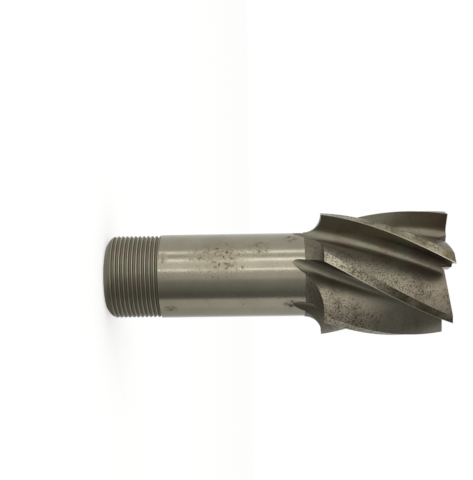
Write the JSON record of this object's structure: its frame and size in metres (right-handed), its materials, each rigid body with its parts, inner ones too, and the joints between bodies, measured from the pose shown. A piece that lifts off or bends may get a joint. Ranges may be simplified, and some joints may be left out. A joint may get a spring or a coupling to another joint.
{
  "type": "end mill",
  "caption": "Helical end mill with square end teeth, milled run-outs at the neck, a plain parallel shank and a screwed rear end.",
  "frame": {"origin": "middle of the rear face, at the threaded end of the shank", "axes": "+Z along the tool's axis towards the cutting end; one cutting edge meets the end face near -Y"},
  "size_m": [0.037, 0.037, 0.1011],
  "materials": {
    "tool_steel": "high speed steel: ground shank and lands, dark milled flutes, neck left as turned, used and lightly rust-pitted"
  },
  "bodies": {
    "root": {"end_mill": "tool_steel"}
  },
  "joints": []
}
